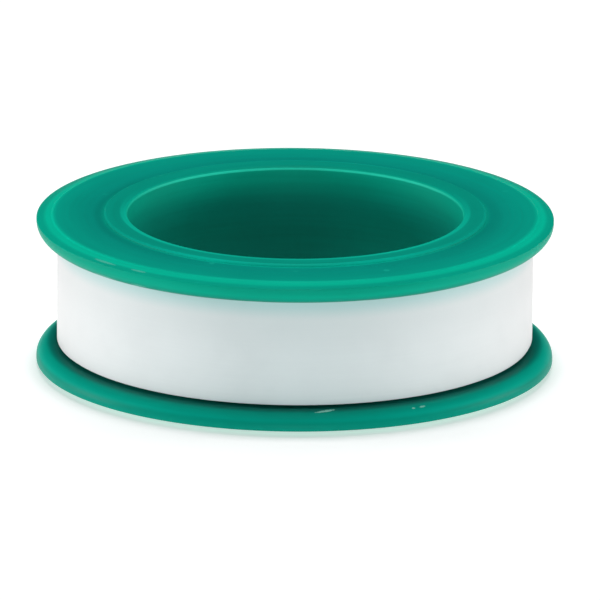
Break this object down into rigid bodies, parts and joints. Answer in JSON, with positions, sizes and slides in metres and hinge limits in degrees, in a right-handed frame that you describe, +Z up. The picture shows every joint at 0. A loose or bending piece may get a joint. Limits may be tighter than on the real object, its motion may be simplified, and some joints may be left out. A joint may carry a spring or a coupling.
{
  "type": "thread seal tape roll",
  "caption": "Roll of thin white thread seal tape wound on a green plastic spool with a wide open bore and a rounded flange at each end.",
  "frame": {"origin": "on the roll's axis, at the plane that the lower end of the hub rests on", "axes": "+Z up along the axis of the bore, -Y towards the viewer, +X to the viewer's right; the loose end is on the +Y side"},
  "size_m": [0.06, 0.06, 0.0183],
  "materials": {
    "green_plastic": "moulded, semi-gloss",
    "white_tape": "satin film"
  },
  "bodies": {
    "spool": {"hub": "green_plastic", "lower_flange": "green_plastic", "upper_flange": "green_plastic", "tape_pack": "white_tape"},
    "outer_turn": {"tape_outer_turn": "white_tape"},
    "loose_end": {"tape_end": "white_tape"}
  },
  "joints": [
    {"name": "tape_unwind", "type": "hinge", "parent": "spool", "child": "outer_turn", "pos_m": [0, 0, 0.00915], "axis": [0, 0, 1], "continuous": true},
    {"name": "tape_end_lift", "type": "hinge", "parent": "outer_turn", "child": "loose_end", "pos_m": [0.01141, 0.02519, 0.00915], "axis": [0, 0, -1], "range_deg": [0, 140]}
  ]
}
